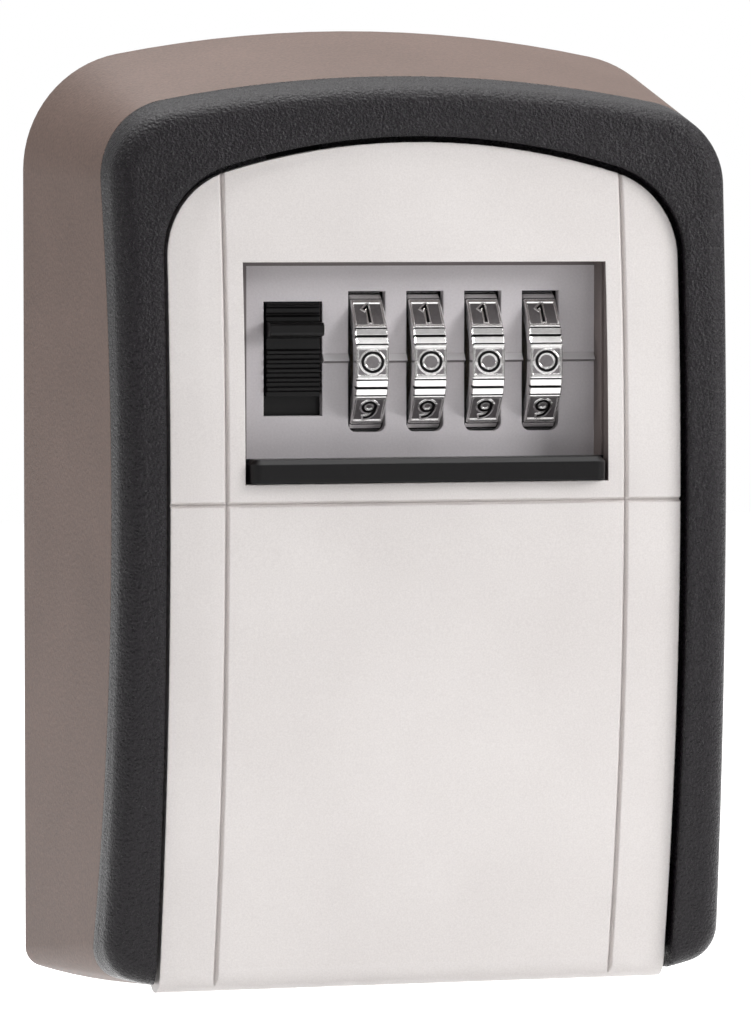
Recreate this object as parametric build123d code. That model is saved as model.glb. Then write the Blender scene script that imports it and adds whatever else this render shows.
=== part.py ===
from build123d import *
import math
import os

# Combination key safe for a wall. The origin is the centre of the flat back face.
# X runs to the right, the front faces -Y and +Z is up.
# In the names below, depth is the distance out from the wall and height is measured
# up from the casing's bottom edge. All sizes are in millimetres.

# Casing and front surround
CASE_HEIGHT = 117.7
BACK_HALF_WIDTH = 42.0
BACK_ARCH_R = 156.0
BACK_CORNER_R = 14.5
BACK_SOLE_HALF = 22.4
BACK_SOLE_R = 56.0
BACK_FOOT_R = 2.5
SMALLEST_FOOT_R = 0.8
DEPTH = 34.5
LOFT_DEPTH = 36.0

# How each of those changes for every millimetre of depth
SIDE_DRAFT = 0.138
TOP_DRAFT = 0.249
FOOT_DRAFT = 0.12
ARCH_DRAFT = 0.45
CORNER_DRAFT = -0.19
SOLE_HALF_DRAFT = 0.2
SOLE_R_DRAFT = -1.15
FOOT_R_DRAFT = 0.08

# Walls, the bowed front and the curved parting between casing and surround
WALL = 2.5
BACK_WALL = 3.0
FRONT_EDGE_R = 2.6
BOW_R = 277.8
BOW_HEIGHT = 62.4
PARTING_R = 218.6
PARTING_DEPTH = 30.15
PARTING_HEIGHT = 60.9
FRAME_SKIN = 2.4
SKIRT = 2.2
SKIRT_DEPTH = 20.5
SKIRT_FIT = 0.15
REST_LEDGE = 1.2
REST_LEDGE_FROM = 16.0
REST_OVERLAP = 0.9
SCREW_R = 1.1
FRAME_SCREW_DEPTH = 25.0
FRAME_SCREW_HEIGHTS = (28.0, 84.0)
FRAME_SCREW_HEAD_R = 2.1

# Door plate
DOOR_STEP = 1.1
DOOR_GAP = 0.7
DOOR_HALF_WIDTH = 31.45
DOOR_TOP = 103.75
DOOR_ARCH_R = 82.5
DOOR_CORNER_R = 10.5
DOOR_FOOT_R = 0.6
DOOR_SKIN = 2.2
KNUCKLE_R = 3.0
KNUCKLE_BULGE = 0.05
HINGE_HEIGHT = 5.4
PIN_R = 1.25
PIN_HALF = 34.8
FLOOR_EDGE = 21.05
FLOOR_TOP = 12.0
GROOVE_X = 24.6
GROOVE_HEIGHT = 61.0
GROOVE_WIDTH = 0.75
GROOVE_DEEP = 0.6
BOSS_X = 27.0
BOSS_HEIGHTS = (44.0, 91.5)
BOSS_R = 2.6
BOSS_HOLE_R = 1.25
BOSS_HOLE_END = 29.6

# Window and the recessed plate behind it
WINDOW_HALF = 22.35
WINDOW_LOW = 63.35
WINDOW_HIGH = 89.5
PANEL_POCKET_DEPTH = 31.45
POCKET_HALF = 23.65
POCKET_LOW = 37.9
TRAY_REAR = 26.2
TRAY_FACE = 27.5
TRAY_RIM = 30.6
TRAY_WALL = 1.2

# Number wheels
WHEEL_COUNT = 4
WHEEL_PITCH = 7.2
WHEEL_FIRST_X = -6.0
WHEEL_R = 10.0
WHEEL_FLAT = 9.8
WHEEL_WIDTH = 4.0
WHEEL_BORE_R = 3.9
DIGITS = 10
DIAL_DEPTH = 20.5
DIAL_HEIGHT = 77.6
DIAL_SLOT_WIDTH = 4.6
DIAL_SLOT_HALF = 8.4
INDEX_HEIGHT = 77.8
INDEX_OUT = 0.7
AXLE_R = 1.5

# Leaf spring over the wheels
STRIP_REAR = 13.5
FINGER_FRONT = 20.2

# Code sleeves, one in each wheel, and the bush that pushes them along
SLEEVE_R = 3.84
SLEEVE_BORE_R = 1.56
SLEEVE_LEFT = 2.6
SLEEVE_RIGHT = 4.4
CAM_R = 5.5
CAM_FROM = 2.4
CAM_THICK = 1.0
KEY_WIDTH = 0.8
KEY_TALL = 0.7
BUSH_LEFT = -11.5

# Lock housing behind the window
HOUSING_HALF = 24.2
HOUSING_LOW = 66.0
HOUSING_HIGH = 93.4
HOUSING_WALL = 1.2
FLANGE_REAR = 24.5
FLANGE_HALF = 29.5
FLANGE_LOW = 37.0
FLANGE_HIGH = 96.0
FLANGE_CORNER_R = 4.0
APRON_REAR = 29.2
RAIL_WIDTH = 1.4
COVER_REAR = 9.0
COVER_FRONT = 10.2
PARTITION_X = -9.8
POST_X = 21.4
POST_R = 1.7
POST_HEIGHTS = (69.0, 90.4)
POST_HOLE_R = 0.9
POST_HOLE_END = 18.0
HOUSING_SCREW_R = 1.2
HOUSING_SCREW_END = 29.2
COVER_SCREW_R = 0.85
COVER_SCREW_HEAD_R = 1.8
BUSH_PASSAGE_R = 3.1

# Release slider, latch bar and their spring
SLIDER_X = -15.1
SLIDER_SLOT_WIDTH = 7.2
SLIDER_LOW = 71.2
SLIDER_HIGH = 84.8
SLIDER_SLAB_REAR = 24.5
SLIDER_SLAB_FRONT = 26.05
SLIDER_SLAB_LOW = 69.8
SLAB_HALF = 4.2
FINGER_WIDTH = 1.2
BUTTON_LOW = 73.5
LEDGE_LOW = 80.4
LEDGE_OUT = 2.2
RIB_COUNT = 5
RIB_LOW = 74.0
RIB_PITCH = 1.1
TOP_RIB_HEIGHTS = (82.9, 83.9)
FENCE_LOW = 89.4
FENCE_HIGH = 91.4
FINGER_TIP = 84.0
BAR_FRONT = 24.5
BAR_REAR = 22.9
BAR_FOOT = 74.5
TONGUE_TOP = 101.4
TONGUE_CLEAR = 0.3
TONGUE_LEFT = SLIDER_X - 2.4
TONGUE_RIGHT = SLIDER_X + 2.4
LEDGE_NOTCH_DEPTH = 30.0
RIVET_HEIGHTS = (78.0, 87.0)
RIVET_HOLE_R = 0.9
RIVET_HEAD_R = 1.5
BAR_HALF = 3.4
BAR_SHOULDER = 93.0
SPRING_DEPTH = 20.6
SPRING_COIL_R = 1.5
SPRING_WIRE_R = 0.25
SPRING_TURNS = 5

# Catch under the top of the surround
CATCH_XS = (SLIDER_X - 4.0, SLIDER_X + 4.0)
CATCH_LEFT = SLIDER_X - 6.5
CATCH_RIGHT = SLIDER_X + 6.5
CATCH_REAR = 21.2
CATCH_FRONT = 25.9
CATCH_SEAT = 103.7
CATCH_SHEET = 1.2
CATCH_TOP = CATCH_SEAT + CATCH_SHEET
CATCH_PAD = 2.6
CATCH_SCREW_DEPTH = 22.9
CATCH_SCREW_HEAD_R = 1.6

# Shutter
SHUTTER_REAR = 30.75
SHUTTER_FRONT = 31.3
SHUTTER_HALF = 23.1
SHUTTER_LOW = 39.3
LIP_LOW = 63.5
LIP_TOP = 66.3
LIP_FRONT = 34.7
LIP_HALF = 21.9
LIP_CORNER_R = 1.3
LIP_BEVEL = 0.6

# Wall fixing holes, key hook and the code-change lever
WALL_HOLE_X = 20.0
WALL_HOLE_LOW = 26.0
WALL_HOLE_HIGH = 84.0
WALL_HOLE_R = 2.6
WALL_BOSS_R = 5.2
WALL_BOSS_OUT = 0.8
HOOK_X = 0.0
HOOK_HEIGHT = 52.0
HOOK_BOSS_R = 4.0
HOOK_BOSS_OUT = 1.5
HOOK_BASE_HALF = 4.0
HOOK_ARM_HALF = 1.5
HOOK_SHEET = 1.0
HOOK_REACH = 6.5
HOOK_DROP = 4.5
HOOK_SCREW_R = 1.2
HOOK_HEAD_R = 2.3
LEVER_X = -17.0
LEVER_HEIGHT = 77.6
LEVER_TRAVEL = 3.0
STEM_HALF = 1.4
KNOB_REAR = 6.6
RAMP_FRONT = 17.1
RAMP_TALL = 2.4

LOW_Z = -CASE_HEIGHT / 2
WHEEL_XS = [WHEEL_FIRST_X + i * WHEEL_PITCH for i in range(WHEEL_COUNT)]
BOW_CENTRE = DEPTH - BOW_R
DOOR_BOW_R = BOW_R - DOOR_STEP
HINGE_DEPTH = BOW_CENTRE + math.sqrt((DOOR_BOW_R - KNUCKLE_R) ** 2 - (HINGE_HEIGHT - BOW_HEIGHT) ** 2)


def place(x, depth, height):
    """Turn a depth from the wall and a height into a point of the model."""
    return Vector(x, -depth, height + LOW_Z)


def block(x0, x1, depth0, depth1, height0, height1):
    middle = place((x0 + x1) / 2, (depth0 + depth1) / 2, (height0 + height1) / 2)
    return Pos(middle) * Box(x1 - x0, depth1 - depth0, height1 - height0)


def rod_x(x0, x1, depth, height, radius):
    turned = Rotation(0, 90, 0) * Cylinder(radius, x1 - x0)
    return Pos(place((x0 + x1) / 2, depth, height)) * turned


def rod_y(x, depth0, depth1, height, radius):
    turned = Rotation(90, 0, 0) * Cylinder(radius, depth1 - depth0)
    return Pos(place(x, (depth0 + depth1) / 2, height)) * turned


def rod_z(x, depth, height0, height1, radius):
    return Pos(place(x, depth, (height0 + height1) / 2)) * Cylinder(radius, height1 - height0)


def bow(radius):
    """Solid behind the bowed front, whose surface is an arc seen from the side."""
    return rod_x(-60, 60, BOW_CENTRE, BOW_HEIGHT, radius)


def extrude_x(points, x0, x1):
    """Straight bar along X whose section is given as (depth, height) points."""
    corners = [place(x0, depth, height) for depth, height in points]
    section = make_face(Polyline(*corners, close=True))
    return extrude(section, amount=x1 - x0, dir=(1, 0, 0))


def arched_face(depth, half, top, foot, arch_r, corner_r, sole_half, sole_r, foot_r):
    """Outline with an arched top, rounded shoulders and a sole that curves up into its corners."""
    arch_centre = top - arch_r
    shoulder = arch_centre + math.sqrt((arch_r - corner_r) ** 2 - (half - corner_r) ** 2)
    lean = math.atan2(half - corner_r, shoulder - arch_centre)
    arch_x = arch_r * math.sin(lean)
    arch_h = arch_centre + arch_r * math.cos(lean)
    mid = (math.pi / 2 - lean) / 2
    corner_x = half - corner_r + corner_r * math.cos(mid)
    corner_h = shoulder + corner_r * math.sin(mid)
    foot_x = half - foot_r
    run = foot_x - sole_half
    rise = math.sqrt((sole_r - foot_r) ** 2 - run ** 2)
    foot_h = foot + sole_r - rise
    turn = math.atan2(run, rise)
    sole_x = sole_half + sole_r * math.sin(turn)
    sole_h = foot + sole_r - sole_r * math.cos(turn)
    sole_mid_x = sole_half + sole_r * math.sin(turn / 2)
    sole_mid_h = foot + sole_r - sole_r * math.cos(turn / 2)
    half_turn = (math.pi / 2 + turn) / 2
    bend_x = foot_x + foot_r * math.sin(half_turn)
    bend_h = foot_h - foot_r * math.cos(half_turn)

    def at(x, height):
        return place(x, depth, height)

    edges = [
        Line(at(-sole_half, foot), at(sole_half, foot)),
        ThreePointArc(at(sole_half, foot), at(sole_mid_x, sole_mid_h), at(sole_x, sole_h)),
        ThreePointArc(at(sole_x, sole_h), at(bend_x, bend_h), at(half, foot_h)),
        Line(at(half, foot_h), at(half, shoulder)),
        ThreePointArc(at(half, shoulder), at(corner_x, corner_h), at(arch_x, arch_h)),
        ThreePointArc(at(arch_x, arch_h), at(0, top), at(-arch_x, arch_h)),
        ThreePointArc(at(-arch_x, arch_h), at(-corner_x, corner_h), at(-half, shoulder)),
        Line(at(-half, shoulder), at(-half, foot_h)),
        ThreePointArc(at(-half, foot_h), at(-bend_x, bend_h), at(-sole_x, sole_h)),
        ThreePointArc(at(-sole_x, sole_h), at(-sole_mid_x, sole_mid_h), at(-sole_half, foot)),
    ]
    return make_face(edges)


def tapered(inset, depth0, depth1):
    """The casing's tapering form between two depths, taken in from the outside."""
    faces = []
    for depth in (depth0, depth1):
        faces.append(arched_face(
            depth,
            BACK_HALF_WIDTH - SIDE_DRAFT * depth - inset,
            CASE_HEIGHT - TOP_DRAFT * depth - inset,
            FOOT_DRAFT * depth + inset,
            BACK_ARCH_R + ARCH_DRAFT * depth - inset,
            BACK_CORNER_R + CORNER_DRAFT * depth - inset,
            BACK_SOLE_HALF + SOLE_HALF_DRAFT * depth,
            BACK_SOLE_R + SOLE_R_DRAFT * depth - inset,
            max(BACK_FOOT_R + FOOT_R_DRAFT * depth - inset, SMALLEST_FOOT_R)))
    return loft(faces, ruled=True)


def door_prism(grow, depth0, depth1, foot):
    """Straight prism of the door plate's outline, made larger all round."""
    half = DOOR_HALF_WIDTH + grow
    outline = arched_face(
        depth0, half, DOOR_TOP + grow, foot, DOOR_ARCH_R + grow, DOOR_CORNER_R + grow,
        half - 1.5 * DOOR_FOOT_R, 3 * DOOR_FOOT_R, DOOR_FOOT_R)
    return extrude(outline, amount=depth1 - depth0, dir=(0, -1, 0))


def half_inside(depth, inset):
    return BACK_HALF_WIDTH - SIDE_DRAFT * depth - inset


def outer_block():
    """Casing and surround together, with the rounded front edge."""
    body = tapered(0, 0, LOFT_DEPTH) & bow(BOW_R)
    front = body.faces().filter_by(GeomType.CYLINDER).sort_by(SortBy.AREA)[-1]
    return fillet(front.edges(), FRONT_EDGE_R)


def parting():
    return rod_x(-60, 60, PARTING_DEPTH - PARTING_R, PARTING_HEIGHT, PARTING_R)


def rear_casing(body):
    shell = (body & parting()) - tapered(WALL, BACK_WALL, LOFT_DEPTH + 2)
    door_room = DOOR_HALF_WIDTH + DOOR_GAP
    shell -= block(-door_room, door_room, FLOOR_EDGE, LOFT_DEPTH, -1, FLOOR_TOP)
    for x in (-WALL_HOLE_X, WALL_HOLE_X):
        for height in (WALL_HOLE_LOW, WALL_HOLE_HIGH):
            shell += rod_y(x, BACK_WALL, BACK_WALL + WALL_BOSS_OUT, height, WALL_BOSS_R)
            shell -= rod_y(x, -1, BACK_WALL + 2, height, WALL_HOLE_R)
    shell += rod_y(HOOK_X, BACK_WALL - 0.5, BACK_WALL + HOOK_BOSS_OUT, HOOK_HEIGHT, HOOK_BOSS_R)
    shell -= rod_y(HOOK_X, BACK_WALL - 2.0, BACK_WALL + 2.0, HOOK_HEIGHT, HOOK_SCREW_R)
    shell -= frame_screw_rods(SCREW_R, 0)
    shell -= catch_screw_rods(SCREW_R)
    return shell


def frame_screw_rods(radius, head_radius):
    """Screws that hold the surround's skirt to the casing's side walls."""
    rods = []
    depth = FRAME_SCREW_DEPTH
    for side in (-1, 1):
        seat = half_inside(depth, WALL + SKIRT_FIT + SKIRT)
        for height in FRAME_SCREW_HEIGHTS:
            xs = sorted((side * (seat - 0.4), side * (seat + SKIRT + 1.4)))
            rods.append(rod_x(xs[0], xs[1], depth, height, radius))
            if head_radius:
                heads = sorted((side * (seat - 1.3), side * (seat - 0.35)))
                rods[-1] += rod_x(heads[0], heads[1], depth, height, head_radius)
    return rods


def front_frame(body):
    ring = body - parting()
    plug = tapered(WALL + SKIRT_FIT, SKIRT_DEPTH, LOFT_DEPTH) & body
    hollow = tapered(WALL + SKIRT_FIT + SKIRT, SKIRT_DEPTH - 1, LOFT_DEPTH + 2) & bow(BOW_R - FRAME_SKIN)
    ledge_band = bow(DOOR_BOW_R - DOOR_SKIN - 0.3) - bow(DOOR_BOW_R - DOOR_SKIN - 0.3 - REST_LEDGE)
    ledge = door_prism(2.6, 20, LOFT_DEPTH, -3) - door_prism(-REST_OVERLAP, 19, LOFT_DEPTH + 1, -4)
    ledge = (ledge & ledge_band) & block(-50, 50, 0, 50, REST_LEDGE_FROM, 120)
    frame = (ring + plug) - hollow
    frame -= door_prism(DOOR_GAP, 10, LOFT_DEPTH + 6, -5)
    frame += ledge
    frame += block(CATCH_LEFT, CATCH_RIGHT, CATCH_REAR, CATCH_FRONT, CATCH_TOP, CATCH_TOP + CATCH_PAD)
    frame -= block(TONGUE_LEFT - 1, TONGUE_RIGHT + 1, 0, LEDGE_NOTCH_DEPTH, 90, CATCH_SEAT)
    frame -= rod_x(-PIN_HALF, PIN_HALF, HINGE_DEPTH, HINGE_HEIGHT, PIN_R)
    frame -= block(-DOOR_HALF_WIDTH - DOOR_GAP, DOOR_HALF_WIDTH + DOOR_GAP, 0, 50, -5, REST_LEDGE_FROM)
    frame -= frame_screw_rods(SCREW_R, 0)
    frame -= catch_screw_rods(SCREW_R)
    return frame


def frame_screws():
    return Compound(frame_screw_rods(SCREW_R, FRAME_SCREW_HEAD_R))


def catch_screw_rods(radius):
    top = CATCH_TOP + CATCH_PAD - 0.5
    return [rod_z(x, CATCH_SCREW_DEPTH, CATCH_SEAT - 0.1, top, radius) for x in CATCH_XS]


def catch_plate():
    """Steel angle under the casing's top, behind which the latch tongue stands."""
    roof = block(CATCH_LEFT, CATCH_RIGHT, CATCH_REAR, CATCH_FRONT, CATCH_SEAT, CATCH_TOP)
    drop_rear = CATCH_FRONT - CATCH_SHEET
    drop = block(CATCH_LEFT, CATCH_RIGHT, drop_rear, CATCH_FRONT, TONGUE_TOP + TONGUE_CLEAR, CATCH_TOP)
    plate = roof + drop
    for x in CATCH_XS:
        plate -= rod_z(x, CATCH_SCREW_DEPTH, 100, 110, SCREW_R)
    return plate


def catch_screws():
    screws = []
    for rod, x in zip(catch_screw_rods(SCREW_R), CATCH_XS):
        head = rod_z(x, CATCH_SCREW_DEPTH, CATCH_SEAT - 0.9, CATCH_SEAT, CATCH_SCREW_HEAD_R)
        screws.append(rod + head)
    return Compound(screws)


def hinge_pin():
    return rod_x(-PIN_HALF, PIN_HALF, HINGE_DEPTH, HINGE_HEIGHT, PIN_R - 0.02)


def key_hook():
    """Flat steel hook screwed to the back wall, with an upturned end for the keys."""
    foot = BACK_WALL + HOOK_BOSS_OUT
    end = foot + HOOK_REACH
    low = HOOK_HEIGHT - HOOK_DROP
    left = HOOK_X - HOOK_ARM_HALF
    right = HOOK_X + HOOK_ARM_HALF
    side = HOOK_BASE_HALF
    base = block(HOOK_X - side, HOOK_X + side, foot, foot + HOOK_SHEET, low, HOOK_HEIGHT + HOOK_DROP)
    base -= rod_y(HOOK_X, 0, 12, HOOK_HEIGHT, HOOK_SCREW_R + 0.1)
    arm = block(left, right, foot, end, low - HOOK_SHEET, low)
    tip = block(left, right, end - HOOK_SHEET, end, low - HOOK_SHEET, low + 3.0)
    return base + arm + tip


def hook_screw():
    seat = BACK_WALL + HOOK_BOSS_OUT + HOOK_SHEET
    shank = rod_y(HOOK_X, BACK_WALL - 1.5, seat, HOOK_HEIGHT, HOOK_SCREW_R - 0.05)
    return shank + rod_y(HOOK_X, seat, seat + 1.1, HOOK_HEIGHT, HOOK_HEAD_R)


def groove_ring(x):
    """V groove that runs down the bowed face at one distance from the middle."""
    outer = DOOR_BOW_R + 0.1
    inner = DOOR_BOW_R - GROOVE_DEEP
    half = GROOVE_WIDTH / 2
    corners = [
        place(x - half, BOW_CENTRE + outer, BOW_HEIGHT),
        place(x + half, BOW_CENTRE + outer, BOW_HEIGHT),
        place(x, BOW_CENTRE + inner, BOW_HEIGHT),
    ]
    centre = place(0, BOW_CENTRE, BOW_HEIGHT)
    return revolve(make_face(Polyline(*corners, close=True)), axis=Axis(centre, (1, 0, 0)))


def cross_groove():
    """V groove straight across the plate, between the window and the shutter's lip."""
    face = DEPTH - DOOR_STEP
    half = GROOVE_WIDTH / 2
    points = [
        (face + 0.1, GROOVE_HEIGHT - half),
        (face + 0.1, GROOVE_HEIGHT + half),
        (face - GROOVE_DEEP, GROOVE_HEIGHT),
    ]
    return extrude_x(points, -DOOR_HALF_WIDTH - 1, DOOR_HALF_WIDTH + 1)


def door_plate():
    band = bow(DOOR_BOW_R) - bow(DOOR_BOW_R - DOOR_SKIN)
    tangent = HINGE_HEIGHT - KNUCKLE_R * (BOW_HEIGHT - HINGE_HEIGHT) / DOOR_BOW_R
    plate = (door_prism(0, 10, LOFT_DEPTH + 6, -5) & band) - block(-60, 60, 0, 60, -20, tangent)
    knuckle_r = KNUCKLE_R + KNUCKLE_BULGE
    plate += rod_x(-DOOR_HALF_WIDTH, DOOR_HALF_WIDTH, HINGE_DEPTH, HINGE_HEIGHT, knuckle_r)
    window = block(-WINDOW_HALF, WINDOW_HALF, 20, 50, WINDOW_LOW, WINDOW_HIGH)
    plate -= block(-POCKET_HALF, POCKET_HALF, 20, PANEL_POCKET_DEPTH, POCKET_LOW, WINDOW_HIGH)
    rim_top = WINDOW_HIGH + TRAY_WALL + 0.1
    plate -= block(-POCKET_HALF, POCKET_HALF, 20, TRAY_RIM + 0.1, WINDOW_HIGH - 1, rim_top)
    plate -= window
    for x in (-GROOVE_X, GROOVE_X):
        plate -= groove_ring(x)
    plate -= cross_groove()
    for x in (-BOSS_X, BOSS_X):
        for height in BOSS_HEIGHTS:
            post = rod_y(x, TRAY_REAR, DEPTH, height, BOSS_R) & bow(DOOR_BOW_R - 1.0)
            plate += post
            plate -= rod_y(x, 20, BOSS_HOLE_END, height, BOSS_HOLE_R)
    plate -= rod_x(-50, 50, HINGE_DEPTH, HINGE_HEIGHT, PIN_R + 0.05)
    return plate


def window_plate():
    """Recessed plate in the window, with slots for the wheels and the slider."""
    out = WINDOW_HALF + TRAY_WALL
    low = WINDOW_LOW - TRAY_WALL
    high = WINDOW_HIGH + TRAY_WALL
    plate = block(-out, out, TRAY_REAR, TRAY_RIM, low, high)
    plate -= block(-WINDOW_HALF, WINDOW_HALF, TRAY_FACE, TRAY_RIM + 1, WINDOW_LOW, WINDOW_HIGH)
    ridge = [
        (TRAY_FACE, INDEX_HEIGHT - 0.35),
        (TRAY_FACE, INDEX_HEIGHT + 0.75),
        (TRAY_FACE + INDEX_OUT, INDEX_HEIGHT - 0.1),
    ]
    plate += extrude_x(ridge, SLIDER_X + SLIDER_SLOT_WIDTH / 2, WINDOW_HALF)
    half = DIAL_SLOT_WIDTH / 2
    slot_low = DIAL_HEIGHT - DIAL_SLOT_HALF
    slot_high = DIAL_HEIGHT + DIAL_SLOT_HALF
    for x in WHEEL_XS:
        slot = block(x - half, x + half, 20, TRAY_FACE + 1, slot_low, slot_high)
        foot = slot.edges().filter_by(Axis.Y).group_by(Axis.Z)[0]
        plate -= fillet(foot, 1.0)
    half = SLIDER_SLOT_WIDTH / 2
    plate -= block(SLIDER_X - half, SLIDER_X + half, 20, TRAY_FACE + 1, SLIDER_LOW, SLIDER_HIGH)
    return plate


def lock_housing():
    """Chassis behind the window: flange, wheel box and the shutter's lower guide."""
    flange = block(-FLANGE_HALF, FLANGE_HALF, FLANGE_REAR, TRAY_REAR, FLANGE_LOW, FLANGE_HIGH)
    flange = fillet(flange.edges().filter_by(Axis.Y), FLANGE_CORNER_R)
    inner_x = HOUSING_HALF - HOUSING_WALL
    box = block(-HOUSING_HALF, HOUSING_HALF, COVER_FRONT, FLANGE_REAR, HOUSING_LOW, HOUSING_HIGH)
    room = block(-inner_x, inner_x, 0, 50, HOUSING_LOW + HOUSING_WALL, HOUSING_HIGH - HOUSING_WALL)
    chassis = (flange + box) - room
    apron_low = SHUTTER_LOW - 1.3
    apron_high = WINDOW_LOW - TRAY_WALL
    chassis += block(-SHUTTER_HALF, SHUTTER_HALF, APRON_REAR, SHUTTER_REAR - 0.2, apron_low, apron_high)
    toe_front = PANEL_POCKET_DEPTH - 0.1
    for side in (-1, 1):
        xs = sorted((side * (SHUTTER_HALF - RAIL_WIDTH), side * SHUTTER_HALF))
        chassis += block(xs[0], xs[1], TRAY_REAR, APRON_REAR, apron_low, apron_high)
        chassis += block(xs[0], xs[1], SHUTTER_REAR - 0.2, toe_front, apron_low, SHUTTER_LOW - 0.2)
    low = HOUSING_LOW + HOUSING_WALL
    wall = block(PARTITION_X - 0.5, PARTITION_X + 0.5, COVER_FRONT, BAR_REAR - 0.4, low, 89.0)
    chassis += wall
    for x in (-POST_X, POST_X):
        for height in POST_HEIGHTS:
            chassis += rod_y(x, COVER_FRONT, FLANGE_REAR - 0.3, height, POST_R)
            chassis -= rod_y(x, 0, POST_HOLE_END, height, POST_HOLE_R)
    chassis -= rod_x(-HOUSING_HALF - 1, HOUSING_HALF + 1, DIAL_DEPTH, DIAL_HEIGHT, AXLE_R)
    chassis -= rod_x(PARTITION_X - 2, PARTITION_X + 2, DIAL_DEPTH, DIAL_HEIGHT, BUSH_PASSAGE_R)
    notch = block(SLIDER_X - 4.0, SLIDER_X + 4.0, BAR_REAR - 0.4, TRAY_REAR + 1, 90, FLANGE_HIGH + 1)
    chassis -= notch
    for x in (-BOSS_X, BOSS_X):
        for height in BOSS_HEIGHTS:
            chassis -= rod_y(x, 20, 28, height, HOUSING_SCREW_R + 0.15)
    return chassis


def housing_screws():
    screws = []
    for x in (-BOSS_X, BOSS_X):
        for height in BOSS_HEIGHTS:
            shank = rod_y(x, FLANGE_REAR, HOUSING_SCREW_END, height, HOUSING_SCREW_R)
            screws.append(shank + rod_y(x, FLANGE_REAR - 1.3, FLANGE_REAR, height, HOOK_HEAD_R))
    return Compound(screws)


def lock_cover():
    cover = block(-HOUSING_HALF, HOUSING_HALF, COVER_REAR, COVER_FRONT, HOUSING_LOW, HOUSING_HIGH)
    cover = fillet(cover.edges().filter_by(Axis.Y), 2.0)
    for x in (-POST_X, POST_X):
        for height in POST_HEIGHTS:
            cover -= rod_y(x, 0, 20, height, COVER_SCREW_R + 0.15)
    low = LEVER_HEIGHT - STEM_HALF - 0.3
    high = LEVER_HEIGHT + STEM_HALF + 0.3
    left = LEVER_X - STEM_HALF - 0.4
    right = LEVER_X + LEVER_TRAVEL + STEM_HALF + 0.4
    cover -= block(left, right, 0, 20, low, high)
    return cover


def cover_screws():
    screws = []
    for x in (-POST_X, POST_X):
        for height in POST_HEIGHTS:
            shank = rod_y(x, COVER_REAR, POST_HOLE_END - 1.0, height, COVER_SCREW_R)
            screws.append(shank + rod_y(x, COVER_REAR - 0.9, COVER_REAR, height, COVER_SCREW_HEAD_R))
    return Compound(screws)


def dial_axle():
    return rod_x(-HOUSING_HALF, HOUSING_HALF, DIAL_DEPTH, DIAL_HEIGHT, AXLE_R - 0.02)


def detent_spring():
    """Leaf spring under the housing's roof with one finger over each wheel."""
    roof = HOUSING_HIGH - HOUSING_WALL
    strip = block(WHEEL_XS[0] - 1.6, WHEEL_XS[-1] + 1.6, STRIP_REAR, 21.5, roof - 0.4, roof)
    bend = STRIP_REAR - 0.9
    tip = DIAL_HEIGHT + WHEEL_R + 0.4
    finger = [
        (STRIP_REAR + 0.4, roof),
        (bend, roof - 0.5),
        (bend, roof - 1.3),
        (FINGER_FRONT, tip),
        (FINGER_FRONT, tip + 0.5),
        (bend + 0.6, roof - 1.1),
        (bend + 0.6, roof - 0.7),
        (STRIP_REAR + 0.4, roof - 0.4),
    ]
    for x in WHEEL_XS:
        strip += extrude_x(finger, x - 1.2, x + 1.2)
    return strip


def number_wheel(x):
    """Ring with ten flats for its digits and three grooves between each two."""
    left = x - WHEEL_WIDTH / 2
    right = x + WHEEL_WIDTH / 2
    wheel = rod_x(left, right, DIAL_DEPTH, DIAL_HEIGHT, WHEEL_R)
    wheel -= rod_x(left - 1, right + 1, DIAL_DEPTH, DIAL_HEIGHT, WHEEL_BORE_R)
    centre = Axis(place(0, DIAL_DEPTH, DIAL_HEIGHT), (1, 0, 0))
    front = DIAL_DEPTH + WHEEL_FLAT
    half_flat = WHEEL_R * math.sin(math.radians(10.5))
    flat = block(left - 1, right + 1, front, front + 2, DIAL_HEIGHT - half_flat, DIAL_HEIGHT + half_flat)
    groove = extrude_x([
        (DIAL_DEPTH + WHEEL_R + 0.2, DIAL_HEIGHT - 0.35),
        (DIAL_DEPTH + WHEEL_R + 0.2, DIAL_HEIGHT + 0.35),
        (DIAL_DEPTH + WHEEL_R - 0.5, DIAL_HEIGHT),
    ], left - 1, right + 1)
    step = 360 / DIGITS
    cuts = []
    for i in range(DIGITS):
        cuts.append(flat.rotate(centre, step * i))
        cuts.append(groove.rotate(centre, step * (i + 0.5)))
    wheel -= cuts
    keyway = DIAL_HEIGHT + WHEEL_BORE_R
    half = KEY_WIDTH / 2 + 0.15
    keyway_top = keyway + KEY_TALL + 0.15
    wheel -= block(right - 1.3, right + 1, DIAL_DEPTH - half, DIAL_DEPTH + half, keyway - 1, keyway_top)
    return wheel


def code_sleeve(x):
    """Sleeve inside a wheel, with its cam disc, gate and the key that joins them."""
    sleeve = rod_x(x - SLEEVE_LEFT, x + SLEEVE_RIGHT, DIAL_DEPTH, DIAL_HEIGHT, SLEEVE_R)
    sleeve += rod_x(x + CAM_FROM, x + CAM_FROM + CAM_THICK, DIAL_DEPTH, DIAL_HEIGHT, CAM_R)
    right = x + WHEEL_WIDTH / 2
    half = KEY_WIDTH / 2
    top = DIAL_HEIGHT + SLEEVE_R
    sleeve += block(right - 1.1, right, DIAL_DEPTH - half, DIAL_DEPTH + half, top - 0.5, top + KEY_TALL)
    gate = DIAL_DEPTH + 4.0
    sleeve -= block(x + CAM_FROM - 0.1, x + CAM_FROM + CAM_THICK + 0.1, gate, gate + 3, 80.2, 83.4)
    sleeve -= rod_x(x - 5, x + 6, DIAL_DEPTH, DIAL_HEIGHT, SLEEVE_BORE_R)
    return sleeve


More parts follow.
